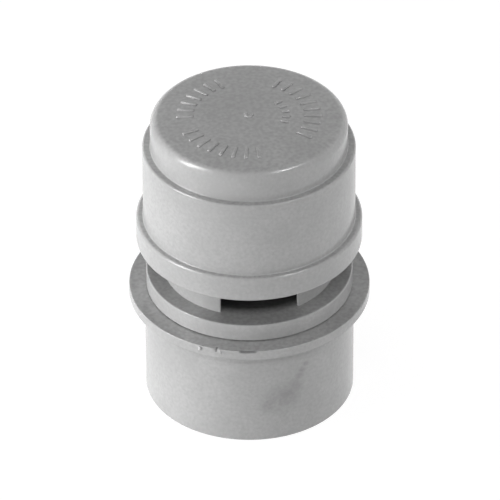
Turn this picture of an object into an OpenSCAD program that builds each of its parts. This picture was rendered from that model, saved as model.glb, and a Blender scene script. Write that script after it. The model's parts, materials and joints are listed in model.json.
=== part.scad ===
// Air admittance valve for a drain pipe, standing on the lower rim of its spigot.
// The drain tube joins the pipe to the space under the cap. When the pipe pulls a vacuum, the
// ring diaphragm lifts off its two seats and outside air comes in through the neck's windows.
// The valve's axis is Z, and the first window faces -Y. Millimetres.

/* [Spigot] */
// Outside diameter of the spigot
spigot_d = 56; // [52:0.5:64]
// Wall thickness of the spigot
spigot_wall = 2.6; // [2:0.1:3.2]
// Length of the spigot below the flange
spigot_len = 29.8; // [20:0.1:45]
// Rounding of the spigot's lower rim
spigot_rim_r = 0.3; // [0.2:0.1:0.9]

/* [Flange] */
// How far the flange stands out from the spigot
flange_lip = 4.2; // [2.5:0.05:8]
// Thickness of the flange
flange_t = 2.85; // [2.5:0.05:6]
// Rounding of the flange's upper edge
flange_upper_r = 0.25; // [0.2:0.05:1.2]
// Rounding of the flange's lower edge
flange_lower_r = 0.3; // [0.2:0.1:0.8]

/* [Tail] */
// Length of the valve body's tail inside the spigot
tail_len = 13; // [11.5:0.1:18]
// Wall thickness of the tail
tail_wall = 2.6; // [2.2:0.1:3.2]
// Height of the snap bead round the tail
bead_h = 0.35; // [0.2:0.05:0.5]
// Width of the snap bead at its foot
bead_w = 1.4; // [1:0.1:2]
// Depth of the snap bead below the flange's top
bead_depth = 9.5; // [8.5:0.1:9.5]
// Section diameter of the O-ring round the tail
oring_d = 1.6; // [1.2:0.1:1.8]
// Width of the O-ring's groove
oring_groove_w = 2.2; // [2:0.1:2.6]
// Depth of the O-ring below the flange's top
oring_depth = 5.5; // [4:0.1:6]

/* [Shoulder] */
// Height of the shoulder above the flange
shoulder_h = 5.15; // [3:0.05:8]
// How far the shoulder is set in from the spigot's surface
shoulder_inset = 0.4; // [0.1:0.05:1]
// Rounding of the shoulder's upper edge
shoulder_r = 0.4; // [0.2:0.1:0.8]
// Height of the gap that shows under the shoulder's edge
joint_gap = 0.3; // [0.1:0.05:0.5]
// Depth of that gap
joint_depth = 0.8; // [0.4:0.1:1.2]
// Thickness of the web that closes the shoulder
web_t = 2.6; // [2.2:0.1:3.4]
// Fillet under the web
web_fillet = 1.6; // [0.5:0.1:3]

/* [Drain tube] */
// Bore of the drain tube
drain_bore = 27.6; // [24:0.1:29]
// Wall thickness of the drain tube
drain_wall = 2.2; // [1.6:0.1:2.6]
// Rounding at the mouth of the drain tube
drain_mouth_r = 1.2; // [0.5:0.1:2]
// Fillet round the foot of the drain tube
drain_fillet = 0.8; // [0.3:0.1:1.5]

/* [Neck] */
// Outside diameter of the neck
neck_d = 45.9; // [43.5:0.1:48]
// Wall thickness of the neck
neck_wall = 2.2; // [1.8:0.1:2.6]
// Height of the open gap between the shoulder and the cap's skirt
inlet_gap = 9.85; // [8:0.05:16]
// Number of windows in the neck
window_count = 3; // [2:1:4]
// Width of one straight-sided window
window_w = 20.5; // [14:0.5:22]
// Height of solid neck left above the windows
lintel_h = 1.8; // [1:0.1:3]
// Thickness of the plate that carries the cap
plate_t = 2.2; // [1.6:0.1:2.6]
// Thickness of the plate's rim
rim_t = 3; // [2.8:0.1:3.6]
// Height of the seats above the plate
seat_rise = 4.6; // [3:0.1:6]
// Width of the sealing land on each seat
seat_land = 0.8; // [0.5:0.1:1.2]

/* [Cap] */
// Outside diameter of the cap's wall
cap_d = 56.5; // [54:0.1:62]
// Wall thickness of the cap
cap_wall = 2.2; // [1.8:0.1:2.8]
// How far the skirt stands out from the wall
skirt_lip = 1.85; // [1.75:0.05:3]
// Height of the skirt
skirt_h = 7.1; // [6.6:0.1:10]
// Wall thickness of the skirt
skirt_wall = 1.95; // [1.5:0.05:2.4]
// Rounding of the skirt's upper edge
skirt_upper_r = 0.9; // [0.4:0.1:1.2]
// Rounding of the skirt's lower edge
skirt_lower_r = 0.5; // [0.2:0.1:0.8]
// Fillet between the wall and the skirt
skirt_fillet = 0.7; // [0.2:0.1:0.8]
// Height of the wall between the skirt and the ledge
wall_h = 22.3; // [19:0.05:36]
// Width of the ledge round the crown
ledge_w = 2.1; // [1.4:0.1:4]
// Rounding of the ledge's outer edge
ledge_r = 0.6; // [0.2:0.1:0.8]
// Fillet between the ledge and the crown
crown_fillet = 0.3; // [0.2:0.1:0.8]
// Height of the crown's middle above the ledge
crown_h = 9.35; // [5:0.05:12]
// Rounding of the crown's edge
crown_r = 2.4; // [0.6:0.1:3]
// Radius of the crown's slightly domed top
crown_dome = 340; // [200:10:800]
// Diameter of the gate mark in the middle of the crown
gate_d = 2.4; // [1.5:0.1:4]
// Height of the gate mark
gate_h = 0.45; // [0.2:0.05:0.8]
// Number of snap lugs inside the skirt
lug_count = 6; // [3:1:8]
// How far a snap lug stands in from the skirt
lug_in = 0.6; // [0.4:0.05:0.8]
// Height of a snap lug
lug_h = 0.9; // [0.6:0.05:1]
// Angle that one snap lug takes
lug_angle = 20; // [10:1:30]
// Number of ribs under the crown
rib_count = 6; // [3:1:8]
// Thickness of a rib
rib_t = 1.4; // [1:0.1:2]
// Depth of a rib below the crown
rib_h = 3.5; // [2:0.1:5]

/* [Valve] */
// Lift of the valve, from its seats to its stop
valve_lift = 6; // [4:0.1:7]
// Thickness of the rubber diaphragm
diaphragm_t = 1.6; // [1:0.1:2.4]
// How far the diaphragm reaches past the outer seat
diaphragm_lap = 0.8; // [0.4:0.1:1.4]
// Width of the diaphragm's inner edge that the retainer ring clamps
clamp_w = 1.2; // [0.8:0.1:1.6]
// Thickness of the carrier plate on the diaphragm
carrier_t = 2; // [1.4:0.1:2.6]
// Wall thickness of the carrier's sleeve
sleeve_wall = 1.8; // [1.4:0.1:2.4]
// Thickness of the retainer ring
retainer_t = 1.2; // [0.8:0.1:1.6]
// Depth of the retainer's groove in the sleeve
groove_d = 0.6; // [0.4:0.1:0.8]
// Length of the sleeve below the retainer ring
sleeve_tip = 1.2; // [0.8:0.1:2]
// Number of spokes in the carrier
spoke_count = 4; // [3:1:6]
// Width of a spoke
spoke_w = 2.4; // [1.6:0.1:3.2]
// Diameter of the carrier's hub
hub_d = 9; // [8:0.1:11]
// Height of the hub above the carrier plate
hub_h = 2.4; // [1:0.1:4]
// Diameter of the guide stem
stem_d = 6; // [4:0.1:6.5]
// Wall thickness of the cap's guide boss
boss_wall = 1.6; // [1.2:0.1:2]

/* [Cap seal] */
// Thickness of the seal between the cap and the plate
seal_t = 1.4; // [1:0.1:1.8]
// Width of that seal
seal_w = 1.2; // [0.8:0.1:1.3]
// Thickness of the lip outside the seal's groove
seal_lip = 0.6; // [0.5:0.05:0.8]

/* [Clearances] */
// Clearance between the cap's skirt and the plate's rim
snap_clear = 0.15; // [0.05:0.05:0.3]
// Clearance between the tail and the spigot's bore
tail_clear = 0.1; // [0.05:0.05:0.2]
// Clearance between the retainer ring and the drain tube's bore
retainer_clear = 0.4; // [0.2:0.1:0.8]
// Clearance round the guide stem
guide_clear = 0.3; // [0.1:0.05:0.5]
// Clearance between parts that are assembled and stay still
seat_clear = 0.05; // [0.02:0.01:0.15]
// Clearance of the stem's end from the crown at full lift
stem_end_clear = 1; // [0.5:0.1:2]

/* [Hidden] */
$fn = 128;
cut = 1; // how far a cutting shape runs past the face that it cuts
front = -90; // direction that the first window faces

spigot_r = spigot_d / 2;
bore_r = spigot_r - spigot_wall;
flange_r = spigot_r + flange_lip;
flange_z = spigot_len;
flange_top = flange_z + flange_t;

tail_r = bore_r - tail_clear;
tail_in_r = tail_r - tail_wall;
tail_z = flange_top - tail_len;
bead_z = flange_top - bead_depth;
oring_z = flange_top - oring_depth;
oring_floor_r = bore_r - oring_d - 2 * seat_clear;

shoulder_out_r = spigot_r - shoulder_inset;
shoulder_top = flange_top + shoulder_h;
web_z = shoulder_top - web_t;
drain_in_r = drain_bore / 2;
drain_out_r = drain_in_r + drain_wall;
neck_r = neck_d / 2;
neck_in_r = neck_r - neck_wall;
skirt_z = shoulder_top + inlet_gap;
skirt_top = skirt_z + skirt_h;

cap_r = cap_d / 2;
cap_in_r = cap_r - cap_wall;
skirt_r = cap_r + skirt_lip;
skirt_in_r = skirt_r - skirt_wall;
cap_step_z = skirt_top - cap_wall;
ledge_z = skirt_top + wall_h;
crown_out_r = cap_r - ledge_w;
cap_top = ledge_z + crown_h;
dome_z = cap_top - crown_dome; // centre of the dome
crown_mid_r = crown_out_r - crown_r;
crown_round_z = dome_z + sqrt(pow(crown_dome - crown_r, 2) - pow(crown_mid_r, 2));
dome_edge_r = crown_mid_r * crown_dome / (crown_dome - crown_r); // where the dome meets the rounding
crown_z = crown_round_z + crown_r - cap_wall; // underside of the crown

rim_top = cap_step_z - seat_clear;
rim_z = rim_top - rim_t;
rim_r = skirt_in_r - snap_clear;
seal_groove_r = rim_r - seal_lip;
seal_groove_in_r = seal_groove_r - seal_w - 2 * seat_clear;
plate_z = rim_top - plate_t;
window_top = plate_z - lintel_h;
seat_z = rim_top + seat_rise;

diaphragm_in_r = drain_in_r - retainer_clear - clamp_w;
diaphragm_out_r = neck_in_r + seat_land + diaphragm_lap;
carrier_z = seat_z + diaphragm_t;
carrier_top = carrier_z + carrier_t;
carrier_out_r = diaphragm_out_r - diaphragm_lap / 2;
sleeve_r = diaphragm_in_r - seat_clear;
sleeve_in_r = sleeve_r - sleeve_wall;
sleeve_z = seat_z - retainer_t - sleeve_tip;
retainer_in_r = sleeve_r - groove_d + seat_clear;
retainer_out_r = drain_in_r - retainer_clear;
hub_top = carrier_top + hub_h;
boss_z = hub_top + valve_lift + seat_clear; // the boss stops the hub here
boss_in_r = stem_d / 2 + guide_clear;
boss_r = boss_in_r + boss_wall;
stem_top = crown_z - valve_lift - stem_end_clear;

body_grey = "#b4b4b4";
rubber_black = "#2b2b2b";
natural_white = "#e4e1d8";

// Half-section of a plain ring between two radii and two heights
module ring(r_in, r_out, z_low, z_high) {
    translate([r_in, z_low]) square([r_out - r_in, z_high - z_low]);
}

// What a quarter round of radius r leaves of a square corner at [x, z]. turn is 0 where the
// corner opens to +x +z, 90 to -x +z, 180 to -x -z and 270 to +x -z.
// Taken from an outer corner it rounds it, added to an inner corner it is a fillet.
module corner(x, z, r, turn) {
    translate([x, z]) rotate(turn) difference() {
        square(r);
        translate([r, r]) circle(r);
    }
}

// Half-section of the snap bead, grown by a clearance where it is cut as a groove
module bead(grow) {
    half_w = bead_w / 2 + grow;
    polygon([
        [tail_r - bead_h, bead_z - half_w - bead_h],
        [tail_r + bead_h + grow, bead_z - half_w + bead_h],
        [tail_r + bead_h + grow, bead_z + half_w - bead_h],
        [tail_r - bead_h, bead_z + half_w + bead_h]
    ]);
}

// Plain tube with a flange, which slides into a pipe socket
module spigot() {
    color(body_grey) rotate_extrude() difference() {
        union() {
            ring(bore_r, spigot_r, 0, flange_z);
            ring(bore_r, flange_r, flange_z, flange_top);
        }
        corner(spigot_r, 0, spigot_rim_r, 90);
        corner(bore_r, 0, spigot_rim_r, 0);
        corner(flange_r, flange_z, flange_lower_r, 90);
        corner(flange_r, flange_top, flange_upper_r, 180);
        bead(tail_clear);
    }
}

// O-ring between the tail and the spigot's bore
module spigot_seal() {
    color(rubber_black) rotate_extrude()
        translate([oring_floor_r + oring_d / 2 + seat_clear, oring_z]) circle(d = oring_d);
}

// Tail, shoulder, drain tube, windowed neck, both seats and the cap's plate: one moulding
module valve_body() {
    color(body_grey) difference() {
        rotate_extrude() valve_body_profile();
        for (i = [0 : window_count - 1]) window(front + i * 360 / window_count);
    }
}

// Opening through the neck's wall with straight, parallel sides
module window(at) {
    intersection() {
        rotate([0, 0, at]) translate([0, -window_w / 2, shoulder_top])
            cube([neck_r + cut, window_w, window_top - shoulder_top]);
        rotate_extrude() ring(neck_in_r - cut, neck_r + cut, shoulder_top, window_top);
    }
}

module valve_body_profile() {
    difference() {
        union() {
            tail_profile();
            ring(tail_in_r, shoulder_out_r, flange_top, shoulder_top);
            ring(drain_in_r, shoulder_out_r, web_z, shoulder_top);
            corner(tail_in_r, web_z, web_fillet, 180);
            ring(drain_in_r, drain_out_r, web_z, seat_z);
            corner(drain_out_r, shoulder_top, drain_fillet, 0);
            ring(neck_in_r, neck_r, shoulder_top, seat_z);
            ring(neck_in_r, rim_r, plate_z, rim_top);
            ring(seal_groove_in_r - plate_t, rim_r, rim_z, rim_top);
        }
        ring(shoulder_out_r - joint_depth, shoulder_out_r, flange_top, flange_top + joint_gap);
        corner(shoulder_out_r, shoulder_top, shoulder_r, 180);
        corner(drain_in_r, web_z, drain_mouth_r, 0);
        ring(seal_groove_in_r, seal_groove_r, rim_top - seal_t, rim_top);
        seat_bevels();
    }
}

module tail_profile() {
    difference() {
        union() {
            ring(tail_in_r, tail_r, tail_z, flange_top);
            bead(0);
        }
        corner(tail_r, tail_z, spigot_rim_r, 90);
        translate([oring_floor_r, oring_z - oring_groove_w / 2])
            square([bore_r - oring_floor_r, oring_groove_w]);
    }
}

// Slopes that leave only a narrow land on top of the drain tube and of the neck
module seat_bevels() {
    polygon([
        [drain_in_r, seat_z - drain_wall + seat_land],
        [drain_out_r - seat_land, seat_z],
        [drain_in_r, seat_z]
    ]);
    polygon([
        [neck_in_r + seat_land, seat_z],
        [neck_r, seat_z - neck_wall + seat_land],
        [neck_r, seat_z]
    ]);
}

// Flat rubber ring in the rim's groove, held down by the step inside the cap
module cap_seal() {
    color(rubber_black) rotate_extrude() ring(
        seal_groove_in_r + seat_clear, seal_groove_r - seat_clear,
        rim_top - seal_t, cap_step_z
    );
}

// Stepped cup with a skirt that snaps over the plate's rim
module cap() {
    color(body_grey) {
        rotate_extrude() difference() {
            cap_outer_profile();
            cap_inner_profile();
        }
        guide_boss();
        for (i = [0 : rib_count - 1]) crown_rib(i * 360 / rib_count);
        for (i = [0 : lug_count - 1]) snap_lug(front + (i + 0.5) * 360 / lug_count);
        gate_mark();
    }
}

module cap_outer_profile() {
    difference() {
        union() {
            ring(0, skirt_r, skirt_z, skirt_top);
            ring(0, cap_r, skirt_top, ledge_z);
            crown_profile();
            corner(cap_r, skirt_top, skirt_fillet, 0);
            corner(crown_out_r, ledge_z, crown_fillet, 0);
        }
        corner(skirt_r, skirt_z, skirt_lower_r, 90);
        corner(skirt_r, skirt_top, skirt_upper_r, 180);
        corner(cap_r, ledge_z, ledge_r, 180);
    }
}

// Crown: an upright wall, a round edge and a dome that runs out of the round without a crease
module crown_profile() {
    ring(0, crown_out_r, ledge_z, crown_round_z);
    translate([crown_mid_r, crown_round_z]) circle(crown_r);
    intersection() {
        translate([0, dome_z]) circle(crown_dome, $fn = 2048);
        ring(0, dome_edge_r, ledge_z, cap_top);
    }
}

module cap_inner_profile() {
    ring(0, skirt_in_r, skirt_z - cut, cap_step_z);
    ring(0, cap_in_r, skirt_z - cut, ledge_z - cap_wall);
    ring(0, crown_out_r - cap_wall, skirt_z - cut, crown_z);
}

// Tube under the crown that guides the stem and stops the hub
module guide_boss() {
    rotate_extrude() ring(boss_in_r, boss_r, boss_z, crown_z + cap_wall / 2);
}

// Rib from the guide boss to the crown's wall
module crown_rib(at) {
    rib_start = boss_in_r + boss_wall / 2;
    rotate([0, 0, at]) translate([rib_start, -rib_t / 2, crown_z - rib_h])
        cube([crown_out_r - cap_wall / 2 - rib_start, rib_t, rib_h + cap_wall / 2]);
}

// Lug inside the skirt that holds the plate's rim from below
module snap_lug(at) {
    lug_top = rim_z - seat_clear;
    rotate([0, 0, at - lug_angle / 2]) rotate_extrude(angle = lug_angle)
        polygon([
            [skirt_in_r + skirt_wall / 2, lug_top],
            [skirt_in_r - lug_in, lug_top],
            [skirt_in_r, lug_top - lug_h],
            [skirt_in_r + skirt_wall / 2, lug_top - lug_h]
        ]);
}

// Small crater left where the moulding gate was broken off
module gate_mark() {
    gate_r = gate_d / 2;
    rotate_extrude() difference() {
        ring(0, gate_r, cap_top - gate_h, cap_top + gate_h);
        corner(gate_r, cap_top + gate_h, gate_h, 180);
        polygon([
            [0, cap_top + gate_h / 4],
            [gate_r / 2, cap_top + gate_h],
            [0, cap_top + gate_h]
        ]);
    }
}

// Flat rubber ring that lies on both seats
module diaphragm() {
    color(rubber_black) rotate_extrude()
        ring(diaphragm_in_r, diaphragm_out_r, seat_z, carrier_z);
}

// Plate on the diaphragm, with a sleeve through it, spokes, a hub and the guide stem
module carrier() {
    color(natural_white) {
        rotate_extrude() difference() {
            union() {
                ring(sleeve_in_r, carrier_out_r, carrier_z, carrier_top);
                ring(sleeve_in_r, sleeve_r, sleeve_z, carrier_z);
            }
            ring(sleeve_r - groove_d, sleeve_r + cut, seat_z - retainer_t - seat_clear, seat_z);
        }
        for (i = [0 : spoke_count - 1]) rotate([0, 0, i * 360 / spoke_count])
            translate([0, -spoke_w / 2, carrier_z])
                cube([sleeve_in_r + sleeve_wall / 2, spoke_w, carrier_t]);
        translate([0, 0, carrier_z]) cylinder(d = hub_d, h = carrier_t + hub_h);
        translate([0, 0, carrier_z]) cylinder(d = stem_d, h = stem_top - carrier_z);
    }
}

// Ring snapped into the sleeve's groove, which clamps the diaphragm to the carrier
module retainer_ring() {
    color(natural_white) rotate_extrude()
        ring(retainer_in_r, retainer_out_r, seat_z - retainer_t, seat_z);
}

spigot();
spigot_seal();
valve_body();
cap();
cap_seal();
diaphragm();
carrier();
retainer_ring();
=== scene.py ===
"""Air admittance valve in moulded grey plastic, standing on its spigot in a white studio."""
import json
import math

import bmesh
import bpy
from mathutils import Matrix, Vector


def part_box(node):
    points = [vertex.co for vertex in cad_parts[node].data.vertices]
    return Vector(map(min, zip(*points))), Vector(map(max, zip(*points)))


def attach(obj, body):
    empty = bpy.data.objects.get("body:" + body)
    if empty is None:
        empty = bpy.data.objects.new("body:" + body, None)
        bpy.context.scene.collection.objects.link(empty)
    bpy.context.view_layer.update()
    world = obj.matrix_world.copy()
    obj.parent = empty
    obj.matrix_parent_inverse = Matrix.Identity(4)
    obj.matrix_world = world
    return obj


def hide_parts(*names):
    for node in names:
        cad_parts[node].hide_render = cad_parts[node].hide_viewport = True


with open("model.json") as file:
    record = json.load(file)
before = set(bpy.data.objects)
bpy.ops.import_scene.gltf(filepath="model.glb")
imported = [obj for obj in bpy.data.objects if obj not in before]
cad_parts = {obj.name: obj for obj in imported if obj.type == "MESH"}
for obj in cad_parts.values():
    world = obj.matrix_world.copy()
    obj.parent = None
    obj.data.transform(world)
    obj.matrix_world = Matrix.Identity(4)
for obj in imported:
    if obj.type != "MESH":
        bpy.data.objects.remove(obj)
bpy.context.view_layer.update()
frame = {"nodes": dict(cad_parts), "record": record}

# Spigot
# A plain tube with a flange, injection moulded in one piece of grey PVC. It slides into a pipe socket
# until the flange stops it, and the valve body's tail is snapped into its upper end.
mounts = {mount["name"]: mount for mount in frame["record"]["mounts"]}
# Sizes are written in millimetres, and MM turns them into Blender's metres.
MM = 0.001
spigot_r = mounts["spigot"]["dims"]["r_mm"]
tube_wall = 2.6
bore_r = spigot_r - tube_wall
flange_z = mounts["flange_seat"]["pos_m"][2] / MM
flange_r, _, flange_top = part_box("spigot")[1] / MM
bead_drop = 9.5
bead_z = flange_top - bead_drop
bead_h = 0.35
bead_r = bore_r + bead_h
bead_foot = 0.8
bead_flat = 0.4
spigot_segments = 480


def linear(hex_colour):
    """Linear colour of an sRGB hex value."""
    parts = [int(hex_colour[i:i + 2], 16) / 255 for i in (1, 3, 5)]
    return [p / 12.92 if p <= 0.04045 else ((p + 0.055) / 1.055) ** 2.4 for p in parts] + [1]


def add(tree, kind, inputs=(), **settings):
    """Adds a node with its settings. Each input, by name or number, gets a value or outputs to link."""
    node = tree.nodes.new(kind)
    for key, value in settings.items():
        setattr(node, key, value)
    for key, value in dict(inputs).items():
        sources = value if isinstance(value, list) else [value]
        if isinstance(sources[0], bpy.types.NodeSocket):
            for source in sources:
                tree.links.new(source, node.inputs[key])
        else:
            node.inputs[key].default_value = value
    return node


def darken(material, mask, hex_colour):
    """Lays a darker colour over a material where a mask is 1."""
    tree = material.node_tree
    base = tree.nodes["Principled BSDF"].inputs["Base Color"]
    # A Mix node has its colours at inputs 6 and 7 and at output 2.
    over = add(tree, "ShaderNodeMix", {
        0: mask, 6: base.links[0].from_socket, 7: linear(hex_colour),
    }, data_type="RGBA", blend_type="MULTIPLY")
    tree.links.new(over.outputs[2], base)


def moulded_plastic(name, hex_dark, hex_light, seed):
    """Satin plastic from a steel mould: faint flow mottling, and a grain on the end faces with painted
    shade in its pits.
    """
    material = bpy.data.materials.new(name)
    material.use_nodes = True
    tree = material.node_tree
    shader = tree.nodes["Principled BSDF"]
    place = add(tree, "ShaderNodeTexCoord").outputs["Object"]
    # Each seed gives a piece its own stretch of the patterns.
    stretch = 37 * MM
    own = add(tree, "ShaderNodeMapping", {"Vector": place, "Location": (seed * stretch, 0, 0)})
    flow_size = 14 * MM
    flow = add(tree, "ShaderNodeTexNoise", {
        "Vector": own.outputs["Vector"], "Scale": 1 / flow_size, "Detail": 4.0,
    })
    # Real speckle and grain are about 0.1 mm wide. Both are drawn coarser, so that they show.
    speckle_size = 0.9 * MM
    grain_size = 1.0 * MM
    speckle = add(tree, "ShaderNodeTexNoise", {
        "Vector": own.outputs["Vector"], "Scale": 1 / speckle_size, "Detail": 2.0,
    })
    mottle = add(tree, "ShaderNodeMath", {
        0: flow.outputs["Fac"], 1: speckle.outputs["Fac"],
    }, operation="MULTIPLY")
    spread = add(tree, "ShaderNodeMapRange", {
        "Value": mottle.outputs["Value"], "From Min": 0.15, "From Max": 0.4,
    })
    colour = add(tree, "ShaderNodeMix", {
        0: spread.outputs["Result"], 6: linear(hex_dark), 7: linear(hex_light),
    }, data_type="RGBA")
    rough = add(tree, "ShaderNodeMapRange", {
        "Value": flow.outputs["Fac"], "To Min": 0.2, "To Max": 0.27,
    })
    relief = add(tree, "ShaderNodeBump", {
        "Height": speckle.outputs["Fac"], "Distance": 0.03 * MM, "Strength": 0.35,
    })
    tree.links.new(colour.outputs[2], shader.inputs["Base Color"])
    tree.links.new(rough.outputs["Result"], shader.inputs["Roughness"])
    tree.links.new(relief.outputs["Normal"], shader.inputs["Normal"])
    shader.inputs["IOR"].default_value = 1.53
    # The mould's end faces are spark eroded, and their pits get painted shade. Its sides are polished.
    normal = add(tree, "ShaderNodeNewGeometry").outputs["Normal"]
    facing = add(tree, "ShaderNodeSeparateXYZ", {"Vector": normal})
    level = add(tree, "ShaderNodeMath", {0: facing.outputs["Z"]}, operation="ABSOLUTE")
    eroded = add(tree, "ShaderNodeMapRange", {
        "Value": level.outputs["Value"], "From Min": 0.8, "From Max": 0.97,
    })
    grain = add(tree, "ShaderNodeTexNoise", {
        "Vector": own.outputs["Vector"], "Scale": 1 / grain_size, "Detail": 0.0,
    })
    pits = add(tree, "ShaderNodeMapRange", {
        "Value": grain.outputs["Fac"], "From Min": 0.65, "From Max": 0.35,
    })
    pit_painted_shade = add(tree, "ShaderNodeMath", {
        0: eroded.outputs["Result"], 1: pits.outputs["Result"],
    }, operation="MULTIPLY")
    darken(material, pit_painted_shade.outputs["Value"], "#f1f1f1")
    return material


def rounded(corners, arc_step=math.radians(9), lead=0.2):
    """Points of a closed outline, in mm, whose corners (radius, height, rounding) become arcs."""
    count = len(corners)
    spots = [Vector(corner[:2]) for corner in corners]
    ways = [(spots[(i + 1) % count] - spots[i]).normalized() for i in range(count)]
    halves = [(-ways[i - 1]).angle(ways[i]) / 2 for i in range(count)]
    used = [corner[2] / math.tan(half) for corner, half in zip(corners, halves)]
    room = 3 * lead
    points = []
    for i, spot in enumerate(spots):
        rounding = corners[i][2]
        if not rounding:
            points.append(spot)
            continue
        back = -ways[i - 1]
        ahead = ways[i]
        centre = spot + (back + ahead).normalized() * rounding / math.sin(halves[i])
        start = spot + back * used[i] - centre
        stop = spot + ahead * used[i] - centre
        turn = math.atan2(start.cross(stop), start.dot(stop))
        steps = max(3, round(abs(turn) / arc_step))
        arc = [centre + Matrix.Rotation(turn * k / steps, 2) @ start for k in range(steps + 1)]
        # A short lead beside each arc keeps the shading of the flat next to it true.
        free_back = (spots[i - 1] - spot).length - used[i - 1] - used[i]
        free_ahead = (spots[(i + 1) % count] - spot).length - used[(i + 1) % count] - used[i]
        if free_back > room:
            points.append(arc[0] + back * lead)
        points += arc
        if free_ahead > room:
            points.append(arc[-1] + ahead * lead)
    return points


def new_tree(name, *inputs):
    """A Geometry Nodes tree with named inputs, each (name, kind), and the outputs of its input node."""
    tree = bpy.data.node_groups.new(name, "GeometryNodeTree")
    for label, kind in inputs:
        tree.interface.new_socket(label, in_out="INPUT", socket_type="NodeSocket" + kind)
    tree.interface.new_socket("Piece", in_out="OUTPUT", socket_type="NodeSocketGeometry")
    return tree, add(tree, "NodeGroupInput").outputs


def turned_tree():
    """Geometry Nodes that turn outlines, drawn with radius along X and height along Y, about Z."""
    tree, given = new_tree(
        "turned_piece", ("Outline", "Geometry"), ("Segments", "Int"), ("Material", "Material"),
    )
    # The path may have any radius, because the outline is moved in by as much.
    path_r = 10 * MM
    circle = add(tree, "GeometryNodeCurvePrimitiveCircle", {
        "Resolution": given["Segments"], "Radius": path_r,
    })
    path = add(tree, "GeometryNodeSetCurveNormal", {0: circle.outputs["Curve"]}, mode="Z_UP")
    outline = add(tree, "GeometryNodeMeshToCurve", {"Mesh": given["Outline"]})
    # A profile's Y runs down along an upright path, so the outline is turned over here.
    profile = add(tree, "GeometryNodeTransform", {
        "Geometry": outline.outputs["Curve"], "Translation": (-path_r, 0, 0), "Scale": (1, -1, 1),
    })
    swept = add(tree, "GeometryNodeCurveToMesh", {
        "Curve": path.outputs["Curve"], "Profile Curve": profile.outputs["Geometry"],
    })
    real = add(tree, "GeometryNodeRealizeInstances", {"Geometry": swept.outputs["Mesh"]})
    painted = add(tree, "GeometryNodeSetMaterial", {
        "Geometry": real.outputs["Geometry"], "Material": given["Material"],
    })
    add(tree, "NodeGroupOutput", {"Piece": painted.outputs["Geometry"]})
    return tree


def set_nodes(piece, tree, values):
    """Puts a Geometry Nodes modifier on a piece and sets its named inputs."""
    modifier = piece.modifiers.new(tree.name, "NODES")
    modifier.node_group = tree
    for item in tree.interface.items_tree:
        if item.in_out == "INPUT" and item.name in values:
            modifier[item.identifier] = values[item.name]


def plain(piece, sharp=math.radians(40)):
    """Turns what the modifiers of a piece make into its own closed mesh, smooth and facing out."""
    seen = piece.evaluated_get(bpy.context.evaluated_depsgraph_get())
    mesh = bpy.data.meshes.new_from_object(seen)
    piece.modifiers.clear()
    work = bmesh.new()
    work.from_mesh(mesh)
    near = 0.001 * MM
    bmesh.ops.remove_doubles(work, verts=work.verts, dist=near)
    bmesh.ops.dissolve_degenerate(work, edges=work.edges, dist=near)
    bmesh.ops.recalc_face_normals(work, faces=work.faces)
    work.to_mesh(mesh)
    work.free()
    mesh.shade_smooth()
    mesh.set_sharp_from_angle(angle=sharp)
    piece.data = mesh
    return piece


def new_piece(name, points, edges, faces):
    """A new object from points in mm."""
    mesh = bpy.data.meshes.new(name)
    mesh.from_pydata([Vector(point).to_3d() * MM for point in points], edges, faces)
    piece = bpy.data.objects.new(name, mesh)
    bpy.context.scene.collection.objects.link(piece)
    return piece


def drawn(name, *outlines):
    """A new object that holds closed outlines as rings of edges."""
    points = []
    edges = []
    for outline in outlines:
        first, count = len(points), len(outline)
        points += outline
        edges += [(first + i, first + (i + 1) % count) for i in range(count)]
    return new_piece(name, points, edges, [])


turned_piece = turned_tree()


def turned(name, material, segments, *corner_lists):
    """A closed piece turned about Z from one or more outlines."""
    piece = drawn(name, *[rounded(corners) for corners in corner_lists])
    set_nodes(piece, turned_piece, {"Segments": segments, "Material": material})
    return plain(piece)


def finished(piece, node, body):
    """Hides the node that a finished piece stands for and hangs the piece on the body it moves with."""
    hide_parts(node)
    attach(piece, body)


grey_dark = "#a9a9a9"
grey_light = "#b5b5b5"
# PVC coloured through: an even, neutral grey with a soft sheen, the same on all three mouldings.
spigot_grey = moulded_plastic("moulded_grey_pvc_spigot", grey_dark, grey_light, seed=1)
# Spare points beside the flange's upper edge let the marks bend it.
edge_side = [(flange_r, flange_top - down, 0) for down in (1.6, 1.1, 0.7)]
edge_top = [(flange_r - inward, flange_top, 0) for inward in (0.7, 1.1)]
spigot = turned("spigot_tube", spigot_grey, spigot_segments, [
    (bore_r, 0, 0.3), (spigot_r, 0, 0.3), (spigot_r, flange_z, 0.15), (flange_r, flange_z, 0.3),
    *edge_side, (flange_r, flange_top, 0.25), *edge_top, (bore_r, flange_top, 0.1),
    (bore_r, bead_z + bead_foot, 0.05), (bead_r, bead_z + bead_flat, 0.05),
    (bead_r, bead_z - bead_flat, 0.05), (bore_r, bead_z - bead_foot, 0.05),
])

# Marks on the spigot
# A strip on the flange's edge was shaved off where the spigot's moulding gate stood, with a nick and
# two flakes of flash beside it. The strip and the nick get painted shade, and a darker grey smear
# runs down the tube.


def bearing(point):
    """Degrees from the front, growing to the right, of a point round the axis."""
    return math.degrees(math.atan2(point.x, -point.y))


shaved_from, shaved_to, shaved_depth = -12.9, -2.3, 0.62
# The strip's depth rises over a fifth of its length and falls over two fifths.
shaved_rise, shaved_fall = 5, 2.5
nick_at, nick_half, nick_depth = -23.2, 0.6, 0.8
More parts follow.
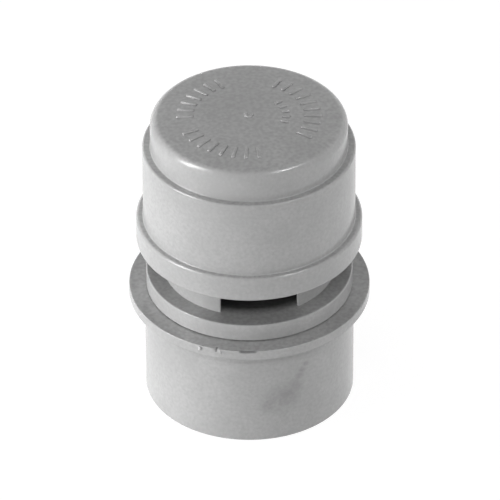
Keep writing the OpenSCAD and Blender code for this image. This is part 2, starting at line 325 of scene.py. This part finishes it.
# Only points this near the edge are marked, and a cut this deep takes the full painted shade.
edge_zone = 2
full_cut = 0.4
cut_shade_share = spigot.data.attributes.new("cut", "FLOAT", "POINT")
for vertex in spigot.data.vertices:
    spot = vertex.co / MM
    reach = math.hypot(spot.x, spot.y)
    if spot.z < flange_top - edge_zone or reach < flange_r - edge_zone:
        continue
    here = bearing(spot)
    along = (here - shaved_from) / (shaved_to - shaved_from)
    depth = 0
    if 0 < along < 1:
        depth = shaved_depth * min(1, shaved_rise * along, shaved_fall * (1 - along))
    elif abs(here - nick_at) < nick_half:
        depth = nick_depth
    over = reach + spot.z - (flange_r + flange_top - depth)
    if depth and over > 0:
        keep = (reach - over / 2) / reach
        vertex.co = Vector((spot.x * keep, spot.y * keep, spot.z - over / 2)) * MM
        cut_shade_share.data[vertex.index].value = min(1, depth / full_cut)
finished(spigot, "spigot", "housing")
# Painted shade: the shaved strip and the nick are drawn darker, the more so the deeper they are cut.
cut_shade_mask = add(spigot_grey.node_tree, "ShaderNodeAttribute", attribute_name="cut")
darken(spigot_grey, cut_shade_mask.outputs["Fac"], "#9c9c9c")

# The smear runs through these spots, each with its degrees from the front, height and width.
smear = [
    (24.8, 22.4, 0.9), (22.7, 20.8, 1.1), (20.6, 19.2, 1.4), (17.5, 15.9, 2.4), (14.5, 14.4, 3.6),
    (11.6, 13.4, 4.4), (8.0, 12.4, 3.8), (3.5, 11.4, 2.4),
]
smear_fade = 1.6
ragged_size = 2.5 * MM
tree = spigot_grey.node_tree
place = add(tree, "ShaderNodeTexCoord").outputs["Object"]
ragged = add(tree, "ShaderNodeTexNoise", {"Vector": place, "Scale": 1 / ragged_size, "Detail": 4.0})
strongest = None
for turn, height, wide in smear:
    side = math.radians(turn)
    middle = Vector((spigot_r * math.sin(side), -spigot_r * math.cos(side), height)) * MM
    apart = add(tree, "ShaderNodeVectorMath", {0: place, 1: middle}, operation="DISTANCE")
    spot = add(tree, "ShaderNodeMapRange", {
        "Value": apart.outputs["Value"], "From Min": 0.0, "From Max": smear_fade * wide * MM,
        "To Min": 1.0, "To Max": 0.0,
    }, interpolation_type="SMOOTHSTEP")
    if strongest:
        both = add(tree, "ShaderNodeMath", {0: strongest, 1: spot.outputs["Result"]}, operation="MAXIMUM")
        strongest = both.outputs["Value"]
    else:
        strongest = spot.outputs["Result"]
patchy = add(tree, "ShaderNodeMapRange", {
    "Value": ragged.outputs["Fac"], "From Min": 0.3, "From Max": 0.7, "To Min": 0.6, "To Max": 1.0,
})
smear_darkening = add(tree, "ShaderNodeMath", {0: strongest, 1: patchy.outputs["Result"]}, operation="MULTIPLY")
# The smear is drawn a little darker, in patches.
darken(spigot_grey, smear_darkening.outputs["Value"], "#e0e0e0")

# Each flake has its degrees from the front, depth below the flange's top, swing and half sizes.
flake_work = bmesh.new()
for turn, depth, swung, size in (
    (-31.8, 0.85, -30, (0.75, 0.24, 0.7)), (-21.5, 0.85, -16, (0.5, 0.17, 0.55)),
):
    side = math.radians(turn)
    spot = Vector((flange_r * math.sin(side), -flange_r * math.cos(side), flange_top - depth))
    stood = Matrix.LocRotScale(spot, Matrix.Rotation(side + math.radians(swung), 3, "Z"), Vector(size))
    bmesh.ops.create_icosphere(flake_work, subdivisions=3, radius=1, matrix=stood)
bmesh.ops.scale(flake_work, vec=(MM, MM, MM), verts=flake_work.verts)
flakes = new_piece("flash_flakes", [], [], [])
flake_work.to_mesh(flakes.data)
flake_work.free()
flakes.data.shade_smooth()
flakes.data.materials.append(spigot_grey)
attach(flakes, "housing")

# O-ring of the spigot
# A ring moulded in EPDM rubber. It lies in the groove round the tail and seals the tail in the
# spigot's bore, and nothing of it shows once the valve is put together.


def seal_rubber(name, hex_dark, hex_bloom):
    """EPDM rubber from a polished mould: matt black with a faint grey bloom."""
    material = bpy.data.materials.new(name)
    material.use_nodes = True
    tree = material.node_tree
    shader = tree.nodes["Principled BSDF"]
    place = add(tree, "ShaderNodeTexCoord").outputs["Object"]
    bloom_size = 3 * MM
    bloom = add(tree, "ShaderNodeTexNoise", {"Vector": place, "Scale": 1 / bloom_size, "Detail": 5.0})
    colour = add(tree, "ShaderNodeMix", {
        0: bloom.outputs["Fac"], 6: linear(hex_dark), 7: linear(hex_bloom),
    }, data_type="RGBA")
    rough = add(tree, "ShaderNodeMapRange", {
        "Value": bloom.outputs["Fac"], "To Min": 0.5, "To Max": 0.75,
    })
    tree.links.new(colour.outputs[2], shader.inputs["Base Color"])
    tree.links.new(rough.outputs["Result"], shader.inputs["Roughness"])
    return material


black_rubber = seal_rubber("moulded_black_epdm", "#1d1d1d", "#3a3a3a")


def paint(node, material):
    """Gives a node of the frame its material."""
    for slot in frame["nodes"][node].material_slots:
        slot.material = material


paint("spigot_seal", black_rubber)

# Valve body
# One grey PVC moulding: the tail that snaps into the spigot, the shoulder that stands on the flange,
# the drain tube, and a neck with three air windows that carries the outer seat and the cap's plate.
tail_gap = 0.1
tail_r = bore_r - tail_gap
tail_in_r = tail_r - tube_wall
tail_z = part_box("valve_body")[0].z / MM
oring_drop = 5.5
oring_z = flange_top - oring_drop
oring_depth = 1.7
oring_floor_r = bore_r - oring_depth
oring_half = 1.1
shoulder_in = 0.4
shoulder_r = spigot_r - shoulder_in
shoulder_h = 5.15
shoulder_top = flange_top + shoulder_h
joint_gap = 0.3
joint_depth = 0.8
web_z = shoulder_top - tube_wall
neck_wall = 2.2
drain_in_r = 13.8
drain_r = drain_in_r + neck_wall
neck_r = 22.95
neck_in_r = neck_r - neck_wall
seat_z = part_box("valve_body")[1].z / MM
seat_h = 4.6
seat_land = 0.8
seat_bevel = 1.4
rim_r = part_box("valve_body")[1].x / MM
rim_top = seat_z - seat_h
rim_h = 3
rim_z = rim_top - rim_h
rim_lip = 0.6
plate_t = 2.2
plate_z = rim_top - plate_t
seal_t = 1.4
seal_w = 1.3
seal_r = rim_r - rim_lip
seal_in_r = seal_r - seal_w
rim_in_r = seal_in_r - plate_t
window_drop = 1.8
window_top = plate_z - window_drop
window_count = 3
window_w = 20.5
front = math.radians(-90)
body_segments = 240

body_grey = moulded_plastic("moulded_grey_pvc_body", grey_dark, grey_light, seed=2)
lower_body = [
    (drain_in_r, web_z, 1.2), (tail_in_r, web_z, 1.6), (tail_in_r, tail_z, 0.2), (tail_r, tail_z, 0.3),
    (tail_r, bead_z - bead_foot, 0.05), (bead_r - tail_gap, bead_z - bead_flat, 0.05),
    (bead_r - tail_gap, bead_z + bead_flat, 0.05), (tail_r, bead_z + bead_foot, 0.05),
    (tail_r, oring_z - oring_half, 0.05), (oring_floor_r, oring_z - oring_half, 0.1),
    (oring_floor_r, oring_z + oring_half, 0.1), (tail_r, oring_z + oring_half, 0.05),
    (tail_r, flange_top, 0.05), (shoulder_r - joint_depth, flange_top, 0.05),
    (shoulder_r - joint_depth, flange_top + joint_gap, 0.05), (shoulder_r, flange_top + joint_gap, 0.08),
    (shoulder_r, shoulder_top, 0.4), (drain_r, shoulder_top, 0.8), (drain_r, seat_z, 0.1),
    (drain_r - seat_land, seat_z, 0.1), (drain_in_r, seat_z - seat_bevel, 0.3),
]
upper_body = [
    (neck_in_r, window_top, 0.2), (neck_r, window_top, 0.2), (neck_r, plate_z, 0.3),
    (rim_in_r, plate_z, 0.2), (rim_in_r, rim_z, 0.2), (rim_r, rim_z, 0.2),
    (rim_r, rim_top, 0.1), (seal_r, rim_top, 0.05),
    (seal_r, rim_top - seal_t, 0.05), (seal_in_r, rim_top - seal_t, 0.05), (seal_in_r, rim_top, 0.05),
    (neck_r, rim_top, 0.3), (neck_r, seat_z - seat_bevel, 0.1), (neck_in_r + seat_land, seat_z, 0.1),
    (neck_in_r, seat_z, 0.1),
]


def leg_plan(rounding):
    """Plan of one leg of the neck, centred on +X: a piece of ring between two straight-sided windows."""
    window_way = math.pi / window_count
    steps = 12

    def jamb(r):
        """Angle from the middle of the leg to the window's side, at a radius."""
        return window_way - math.asin(window_w / 2 / r)

    def arc(r, sign):
        """Points between the two ends of the leg's wall, at a radius."""
        turns = [sign * jamb(r) * k / steps for k in range(1 - steps, steps)]
        return [(r * math.cos(a), r * math.sin(a), 0) for a in turns]

    def end(r, sign):
        """Rounded corner at one end of the leg's wall, at a radius."""
        return (r * math.cos(jamb(r)), sign * r * math.sin(jamb(r)), rounding)

    # The legs' walls stand a hair inside the neck's, so that no two faces coincide.
    hair = 0.02
    leg_r = neck_r - hair
    leg_in_r = neck_in_r + hair
    outer = [end(leg_r, -1)] + arc(leg_r, 1) + [end(leg_r, 1)]
    inner = [end(leg_in_r, 1)] + arc(leg_in_r, -1) + [end(leg_in_r, -1)]
    return rounded(outer + inner)


def raised(name, plan, low, high):
    """A closed prism of a plan between two heights."""
    count = len(plan)
    points = [(x, y, z) for z in (low, high) for x, y in plan]
    sides = [(i, (i + 1) % count, count + (i + 1) % count, count + i) for i in range(count)]
    faces = [tuple(reversed(range(count))), tuple(range(count, 2 * count))] + sides
    return new_piece(name, points, [], faces)


def joined_tree():
    """Geometry Nodes that set copies of a tool round the axis at even steps and fuse them to a piece."""
    tree, given = new_tree(
        "fused_round_the_axis", ("Base", "Geometry"), ("Tool", "Object"), ("Count", "Int"),
        ("First", "Float"), ("Material", "Material"),
    )
    tool = add(tree, "GeometryNodeObjectInfo", {"Object": given["Tool"]})
    spots = add(tree, "GeometryNodeMeshLine", {"Count": given["Count"], "Offset": (0, 0, 0)})
    number = add(tree, "GeometryNodeInputIndex")
    step = add(tree, "ShaderNodeMath", {0: math.tau, 1: given["Count"]}, operation="DIVIDE")
    turn = add(tree, "ShaderNodeMath", {
        0: number.outputs["Index"], 1: step.outputs["Value"], 2: given["First"],
    }, operation="MULTIPLY_ADD")
    facing = add(tree, "ShaderNodeCombineXYZ", {"Z": turn.outputs["Value"]})
    copies = add(tree, "GeometryNodeInstanceOnPoints", {
        "Points": spots.outputs["Mesh"], "Instance": tool.outputs["Geometry"],
        "Rotation": facing.outputs["Vector"],
    })
    fused = add(tree, "GeometryNodeMeshBoolean", {
        "Mesh 2": [given["Base"], copies.outputs["Instances"]],
    }, operation="UNION", solver="MANIFOLD")
    real = add(tree, "GeometryNodeRealizeInstances", {"Geometry": fused.outputs["Mesh"]})
    painted = add(tree, "GeometryNodeSetMaterial", {
        "Geometry": real.outputs["Geometry"], "Material": given["Material"],
    })
    add(tree, "NodeGroupOutput", {"Piece": painted.outputs["Geometry"]})
    return tree


fused_round = joined_tree()


def fuse(piece, tool, count, first, material):
    """Fuses copies of a tool, set evenly round the axis, to a piece and drops the tool."""
    set_nodes(piece, fused_round, {"Tool": tool, "Count": count, "First": first, "Material": material})
    plain(piece)
    bpy.data.objects.remove(tool)


# The legs run this far into the shoulder and into the neck.
sunk = 0.5
leg_edge = 0.2
body = turned("valve_body_moulding", body_grey, body_segments, lower_body, upper_body)
leg = raised("leg", leg_plan(leg_edge), shoulder_top - sunk, window_top + sunk)
fuse(body, leg, window_count, front + math.pi / window_count, body_grey)
finished(body, "valve_body", "housing")

# Painted shade: the channel behind the windows is drawn darker the deeper it lies inside the neck.
shade_full_r = neck_in_r - 1.2
shade_in_r = drain_r - 1
shade_z = shoulder_top - 0.2
tree = body_grey.node_tree
place = add(tree, "ShaderNodeTexCoord").outputs["Object"]
parts = add(tree, "ShaderNodeSeparateXYZ", {"Vector": place})
level = add(tree, "ShaderNodeVectorMath", {0: place, 1: (1, 1, 0)}, operation="MULTIPLY")
reach = add(tree, "ShaderNodeVectorMath", {0: level.outputs["Vector"]}, operation="LENGTH")
inward = add(tree, "ShaderNodeMapRange", {
    "Value": reach.outputs["Value"], "From Min": neck_r * MM, "From Max": shade_full_r * MM,
})
outside_tube = add(tree, "ShaderNodeMath", {
    0: reach.outputs["Value"], 1: shade_in_r * MM,
}, operation="GREATER_THAN")
above = add(tree, "ShaderNodeMath", {
    0: parts.outputs["Z"], 1: shade_z * MM,
}, operation="GREATER_THAN")
there = add(tree, "ShaderNodeMath", {
    0: outside_tube.outputs["Value"], 1: above.outputs["Value"],
}, operation="MULTIPLY")
channel_painted_shade = add(tree, "ShaderNodeMath", {
    0: inward.outputs["Result"], 1: there.outputs["Value"],
}, operation="MULTIPLY")
darken(body_grey, channel_painted_shade.outputs["Value"], "#a0a0a0")

# Valve
# A flat EPDM ring clamped between a carrier and a snap ring, both moulded in white acetal. The three
# drop onto both seats by their weight, and the carrier's stem slides in the cap's guide boss.
ring_low, ring_high = (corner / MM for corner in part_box("diaphragm"))
carrier_low, carrier_high = (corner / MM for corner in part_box("carrier"))
snap_low, snap_high = (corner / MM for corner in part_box("retainer_ring"))
carrier_t = 2
carrier_top = ring_high.z + carrier_t
sleeve_r = 12.15
sleeve_wall = 1.8
sleeve_in_r = sleeve_r - sleeve_wall
groove_depth = 0.6
groove_r = sleeve_r - groove_depth
valve_gap = 0.05
groove_z = snap_low.z - valve_gap
ring_in_r = sleeve_r + valve_gap
snap_in_r = groove_r + valve_gap
hub_r = 4.5
hub_h = 2.4
hub_top = carrier_top + hub_h
stem_r = 3
spoke_count = 4
spoke_w = 2.4
spoke_in = 0.1
spoke_from = hub_r - 1
spoke_to = sleeve_in_r + 0.5
valve_segments = 180

# Acetal left its own colour: a warm white with a soft sheen.
white_acetal = moulded_plastic("moulded_natural_acetal", "#dcd9cf", "#e6e3da", seed=3)
diaphragm = turned("diaphragm_ring", black_rubber, valve_segments, [
    (ring_in_r, ring_low.z, 0.15), (ring_high.x, ring_low.z, 0.3),
    (ring_high.x, ring_high.z, 0.3), (ring_in_r, ring_high.z, 0.15),
])
finished(diaphragm, "diaphragm", "valve")
carrier = turned("carrier_plate", white_acetal, valve_segments, [
    (sleeve_in_r, carrier_low.z, 0.2), (sleeve_r, carrier_low.z, 0.4), (sleeve_r, groove_z, 0.05),
    (groove_r, groove_z, 0.05), (groove_r, snap_high.z, 0.05), (sleeve_r, snap_high.z, 0.05),
    (sleeve_r, ring_high.z, 0.05), (carrier_high.x, ring_high.z, 0.2), (carrier_high.x, carrier_top, 0.5),
    (sleeve_in_r, carrier_top, 0.3),
], [
    (0, ring_high.z, 0), (hub_r, ring_high.z, 0.3), (hub_r, hub_top, 0.4), (stem_r, hub_top, 0.3),
    (stem_r, carrier_high.z, 0.6), (0, carrier_high.z, 0),
])


def bar(name, low, high, rounding):
    """A block between two corners, in mm, with rounded edges."""
    middle = (Vector(low) + Vector(high)) / 2
    placed = Matrix.LocRotScale(middle, None, Vector(high) - Vector(low))
    work = bmesh.new()
    bmesh.ops.create_cube(work, size=1, matrix=placed)
    bmesh.ops.bevel(work, geom=work.edges, offset=rounding, segments=3, profile=0.5, affect="EDGES")
    bmesh.ops.scale(work, vec=(MM, MM, MM), verts=work.verts)
    piece = new_piece(name, [], [], [])
    work.to_mesh(piece.data)
    work.free()
    return piece


spoke = bar(
    "spoke", (spoke_from, -spoke_w / 2, ring_high.z + spoke_in),
    (spoke_to, spoke_w / 2, carrier_top - spoke_in), rounding=0.3,
)
fuse(carrier, spoke, spoke_count, 0, white_acetal)
finished(carrier, "carrier", "valve")
snap_ring = turned("snap_ring", white_acetal, valve_segments, [
    (snap_in_r, snap_low.z, 0.15), (snap_high.x, snap_low.z, 0.25),
    (snap_high.x, snap_high.z, 0.15), (snap_in_r, snap_high.z, 0.1),
])
finished(snap_ring, "retainer_ring", "valve")

# Cap seal
# A flat ring of the same EPDM rubber, laid in a groove of the plate and pressed by the step inside
# the cap. It is hidden once the cap is snapped on.
paint("cap_seal", black_rubber)

# Cap
# One grey PVC moulding: a stepped cup that snaps over the plate's rim for good. Its crown is slightly
# domed with a well rounded edge, a ledge below it, and the crater of the moulding gate in the middle.
skirt_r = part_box("cap")[1].x / MM
skirt_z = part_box("cap")[0].z / MM
gate_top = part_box("cap")[1].z / MM
gate_r = 1.2
gate_h = 0.45
cap_top = gate_top - gate_h
crater_h = 0.11
crater_z = cap_top + crater_h
cap_wall = 2.2
skirt_step = 1.85
cap_r = skirt_r - skirt_step
cap_in_r = cap_r - cap_wall
skirt_h = 7.1
skirt_top = skirt_z + skirt_h
skirt_wall = 1.95
skirt_in_r = skirt_r - skirt_wall
step_z = skirt_top - cap_wall
drum_h = 22.3
ledge_z = skirt_top + drum_h
ledge_w = 2.1
crown_r = cap_r - ledge_w
crown_in_r = crown_r - cap_wall
edge_r = 2.4
edge_lead = 0.2
edge_steps = 14
dome_r = 340
dome_steps = 12
dome_z = cap_top - dome_r
edge_z = dome_z + math.sqrt((dome_r - edge_r) ** 2 - (crown_r - edge_r) ** 2)
dome_half = math.asin((crown_r - edge_r) / (dome_r - edge_r))
crown_z = edge_z + edge_r - cap_wall
stem_gap = 0.3
boss_in_r = stem_r + stem_gap
boss_wall = 1.6
boss_r = boss_in_r + boss_wall
valve_lift = 6
boss_z = hub_top + valve_lift + valve_gap
rib_count = 6
rib_t = 1.4
rib_h = 3.5
rib_sunk = 0.6
lug_count = 6
lug_in = 0.6
lug_h = 0.9
lug_root_r = skirt_in_r + 0.9
lug_angle = math.radians(20)
cap_segments = 360


def arc_points(r, z, radius, start, end, steps):
    """Points of an arc about (r, z), from one angle to another, as corners that need no rounding."""
    turns = [start + (end - start) * k / steps for k in range(steps + 1)]
    return [(r + radius * math.cos(a), z + radius * math.sin(a), 0) for a in turns]


cap_grey = moulded_plastic("moulded_grey_pvc_cap", grey_dark, grey_light, seed=4)
upright = math.pi / 2
crown_edge = arc_points(crown_r - edge_r, edge_z, edge_r, 0, upright - dome_half, edge_steps)
# The dome's first and last points belong to the edge and to the gate.
dome = arc_points(0, dome_z, dome_r, upright - dome_half, upright - gate_r / dome_r, dome_steps)[1:-1]
cap = turned("cap_shell", cap_grey, cap_segments, [
    (skirt_in_r, skirt_z, 0.3), (skirt_r, skirt_z, 0.5), (skirt_r, skirt_top, 0.9),
    (cap_r, skirt_top, 0.35), (cap_r, ledge_z, 0.6), (crown_r, ledge_z, 0.3),
    (crown_r, edge_z - edge_lead, 0), *crown_edge, *dome,
    (gate_r, cap_top, 0.15), (gate_r, gate_top, 0.3), (gate_r / 2, gate_top, 0.1), (0, crater_z, 0),
    (0, crown_z, 0), (boss_in_r, crown_z, 0.1), (boss_in_r, boss_z, 0.2), (boss_r, boss_z, 0.2),
    (boss_r, crown_z, 0.4), (crown_in_r, crown_z, 0.6), (crown_in_r, ledge_z - cap_wall, 0.3),
    (cap_in_r, ledge_z - cap_wall, 0.6), (cap_in_r, step_z, 0.2), (skirt_in_r, step_z, 0.2),
])
rib = bar(
    "rib", (boss_r - rib_sunk, -rib_t / 2, crown_z - rib_h),
    (crown_in_r + rib_sunk, rib_t / 2, crown_z + rib_sunk), rounding=0.25,
)
fuse(cap, rib, rib_count, 0, cap_grey)
lug_gap = 0.05
lug_top = rim_z - lug_gap
lug_steps = 12
lug_section = [
    (lug_root_r, lug_top), (skirt_in_r - lug_in, lug_top), (skirt_in_r, lug_top - lug_h),
    (lug_root_r, lug_top - lug_h),
]
corner_count = len(lug_section)
lug_points = []
for k in range(lug_steps + 1):
    a = lug_angle * (k / lug_steps - 0.5)
    lug_points += [(r * math.cos(a), r * math.sin(a), z) for r, z in lug_section]
last_end = range(lug_steps * corner_count, len(lug_points))
lug_faces = [tuple(range(corner_count)), tuple(reversed(last_end))]
for k in range(lug_steps):
    for i in range(corner_count):
        j = (i + 1) % corner_count
        low, high = k * corner_count, (k + 1) * corner_count
        lug_faces.append((low + j, low + i, high + i, high + j))
lug = new_piece("lug", lug_points, [], lug_faces)
fuse(cap, lug, lug_count, front + math.pi / lug_count, cap_grey)
finished(cap, "cap", "housing")

# Raised bars on the crown
# Plain rounded bars of the cap's PVC, moulded in one with it and about 0.4 mm high. They stand round
# the crown in three groups, with a row of short ones inside the right-hand group.
bar_w = 0.95
bar_h = 0.42
bar_l = 4.6
bar_sunk = 0.25
outer_row = 16.9
inner_row = 9.8


def bars_tree():
    """Geometry Nodes that stand copies of a bar along an arc on the dome."""
    tree, given = new_tree(
        "raised_bars", ("Rest", "Geometry"), ("Bar", "Object"), ("Count", "Int"), ("First", "Float"),
        ("Step", "Float"), ("Radius", "Float"), ("Dome", "Float"), ("Top", "Float"), ("Length", "Float"),
        ("Material", "Material"),
    )
    one = add(tree, "GeometryNodeObjectInfo", {"Object": given["Bar"]})
    line = add(tree, "GeometryNodeMeshLine", {"Count": given["Count"], "Offset": (0, 0, 0)})
    number = add(tree, "GeometryNodeInputIndex")
    turn = add(tree, "ShaderNodeMath", {
        0: number.outputs["Index"], 1: given["Step"], 2: given["First"],
    }, operation="MULTIPLY_ADD")
    # The dome slopes by radius over dome radius, and has dropped by half of that times the radius.
    slope = add(tree, "ShaderNodeMath", {0: given["Radius"], 1: given["Dome"]}, operation="DIVIDE")
    half_slope = add(tree, "ShaderNodeMath", {0: slope.outputs["Value"], 1: 0.5}, operation="MULTIPLY")
    drop = add(tree, "ShaderNodeMath", {
        0: half_slope.outputs["Value"], 1: given["Radius"],
    }, operation="MULTIPLY")
    height = add(tree, "ShaderNodeMath", {
        0: given["Top"], 1: drop.outputs["Value"],
    }, operation="SUBTRACT")
    facing = add(tree, "ShaderNodeCombineXYZ", {
        "Y": slope.outputs["Value"], "Z": turn.outputs["Value"],
    })
    aside = add(tree, "ShaderNodeCombineXYZ", {"X": given["Radius"], "Z": height.outputs["Value"]})
    spot = add(tree, "ShaderNodeVectorRotate", {
        "Vector": aside.outputs["Vector"], "Angle": turn.outputs["Value"],
    }, rotation_type="Z_AXIS")
    spots = add(tree, "GeometryNodeSetPosition", {
        "Geometry": line.outputs["Mesh"], "Position": spot.outputs["Vector"],
    })
    size = add(tree, "ShaderNodeCombineXYZ", {"X": given["Length"], "Y": 1.0, "Z": 1.0})
    copies = add(tree, "GeometryNodeInstanceOnPoints", {
        "Points": spots.outputs["Geometry"], "Instance": one.outputs["Geometry"],
        "Rotation": facing.outputs["Vector"], "Scale": size.outputs["Vector"],
    })
    both = add(tree, "GeometryNodeJoinGeometry", {
        "Geometry": [copies.outputs["Instances"], given["Rest"]],
    })
    real = add(tree, "GeometryNodeRealizeInstances", {"Geometry": both.outputs["Geometry"]})
    painted = add(tree, "GeometryNodeSetMaterial", {
        "Geometry": real.outputs["Geometry"], "Material": given["Material"],
    })
    add(tree, "NodeGroupOutput", {"Piece": painted.outputs["Geometry"]})
    return tree


raised_bars = bars_tree()
bars = new_piece("crown_bars", [], [], [])
one_bar = bar(
    "one_bar", (-bar_l / 2, -bar_w / 2, -bar_sunk), (bar_l / 2, bar_w / 2, bar_h), rounding=0.3,
)
# Each row is one more modifier, which adds its bars to the rows before it.
for count, first, step, radius, length in (
    (8, -89, -10.5, outer_row, 1.0), (7, -187, -10.5, outer_row, 1.0), (10, -38, 10.5, outer_row, 1.0),
    (5, -24, 13.5, inner_row, 0.5),
):
    set_nodes(bars, raised_bars, {
        "Bar": one_bar, "Count": count, "First": math.radians(first), "Step": math.radians(step),
        "Radius": radius * MM, "Dome": dome_r * MM, "Top": cap_top * MM, "Length": length,
        "Material": cap_grey,
    })
plain(bars)
bpy.data.objects.remove(one_bar)
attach(bars, "housing")

# Studio
# A pale paper floor and a white backdrop. Low strips stand for the light that a white table throws
# back, soft lamps hang over both sides and the front, and two more are seen only as sheen.
photo_turn = math.radians(-7.3)
photo_tilt = math.radians(35.9)
photo_roll = math.radians(0.2)
photo_angle = math.radians(3.987)
photo_width = 500
photo_shift = 0.7
aim = Vector((0, 0, 42.55 * MM))
camera_away = 1.918


def sight(turn, tilt):
    """Direction from the valve towards a place turn and tilt away from its front."""
    return Vector((math.sin(turn) * math.cos(tilt), -math.cos(turn) * math.cos(tilt), math.sin(tilt)))


camera_data = bpy.data.cameras.new("camera")
camera_data.angle = photo_angle
camera_data.shift_x = photo_shift / photo_width
camera = bpy.data.objects.new("camera", camera_data)
way = sight(photo_turn, photo_tilt)
camera.location = aim + way * camera_away
level_view = way.to_track_quat("Z", "Y")
rolled_view = level_view @ Matrix.Rotation(-photo_roll, 3, "Z").to_quaternion()
camera.rotation_euler = rolled_view.to_euler()
bpy.context.scene.collection.objects.link(camera)
bpy.context.scene.camera = camera


def lamp(name, turn, tilt, away, wide, high, power):
    """A lamp of wide by high metres, aimed at the valve, turned in degrees from the camera's side."""
    data = bpy.data.lights.new(name, "AREA")
    data.shape = "RECTANGLE"
    data.size = wide
    data.size_y = high
    data.energy = power
    piece = bpy.data.objects.new(name, data)
    way = sight(photo_turn + math.radians(turn), math.radians(tilt))
    piece.location = aim + way * away
    piece.rotation_euler = way.to_track_quat("Z", "Y").to_euler()
    bpy.context.scene.collection.objects.link(piece)
    return piece


# The soft lamps light the plastic but aren't seen in its gloss.
for name, turn, tilt, away, wide, high, power in (
    ("low_left", -76, 1, 1.0, 1.0, 0.08, 11.5), ("low_right", 80, 1, 1.0, 1.0, 0.08, 3.8),
    ("low_rear", 152, 1, 0.9, 0.4, 0.08, 1.2), ("low_back", 184, 1, 1.0, 0.4, 0.08, 4.4),
    ("front_top", 0, 45, 0.9, 0.7, 0.09, 2.2),
    ("top_left", -95, 62, 0.9, 0.9, 0.9, 2.8), ("top_right", 95, 62, 0.9, 0.9, 0.9, 1.3),
):
    lamp(name, turn, tilt, away, wide, high, power).visible_glossy = False
# The sheen lamps are seen in the gloss and light nothing else.
for name, turn, tilt, away, wide, high, power in (
    ("sheen_left", -74, 36, 0.9, 0.25, 0.6, 7.0), ("sheen_right", 72, 66, 0.9, 0.24, 0.08, 1.9),
):
    lamp(name, turn, tilt, away, wide, high, power).visible_diffuse = False


def shown_to(tree):
    """1 for rays that show the backdrop itself, straight or in a reflection, and 0 for the rest."""
    rays = add(tree, "ShaderNodeLightPath").outputs
    direct = add(tree, "ShaderNodeMath", {
        0: rays["Is Camera Ray"], 1: rays["Is Glossy Ray"],
    }, operation="MAXIMUM")
    every = add(tree, "ShaderNodeMath", {
        0: direct.outputs["Value"], 1: rays["Is Transmission Ray"],
    }, operation="MAXIMUM")
    return every.outputs["Value"]


floor_half = 1500
# A hair below the spigot's rim, so that the two don't coincide.
floor_z = -0.05
floor = new_piece("floor", [
    (-floor_half, -floor_half, floor_z), (floor_half, -floor_half, floor_z),
    (floor_half, floor_half, floor_z), (-floor_half, floor_half, floor_z),
], [], [(0, 1, 2, 3)])
# Matt paper: no gloss. To the camera it glows, so that it shows white and still keeps the shadow.
floor_white = bpy.data.materials.new("matt_white_paper")
floor_white.use_nodes = True
tree = floor_white.node_tree
tree.nodes.clear()
paper = add(tree, "ShaderNodeBsdfDiffuse", {"Color": linear("#e6e6e6")})
shade = add(tree, "ShaderNodeBsdfDiffuse", {"Color": linear("#808080")})
glow = add(tree, "ShaderNodeEmission", {"Strength": 0.9})
lit = add(tree, "ShaderNodeAddShader", {0: shade.outputs["BSDF"], 1: glow.outputs["Emission"]})
mixed = add(tree, "ShaderNodeMixShader", {
    0: shown_to(tree), 1: paper.outputs["BSDF"], 2: lit.outputs["Shader"],
})
add(tree, "ShaderNodeOutputMaterial", {"Surface": mixed.outputs["Shader"]})
floor.data.materials.append(floor_white)

world = bpy.data.worlds.new("studio")
bpy.context.scene.world = world
world.use_nodes = True
tree = world.node_tree
backdrop = tree.nodes["Background"].inputs
backdrop["Color"].default_value = linear("#ffffff")
tree.links.new(shown_to(tree), backdrop["Strength"])
bpy.context.scene.view_settings.view_transform = "Standard"
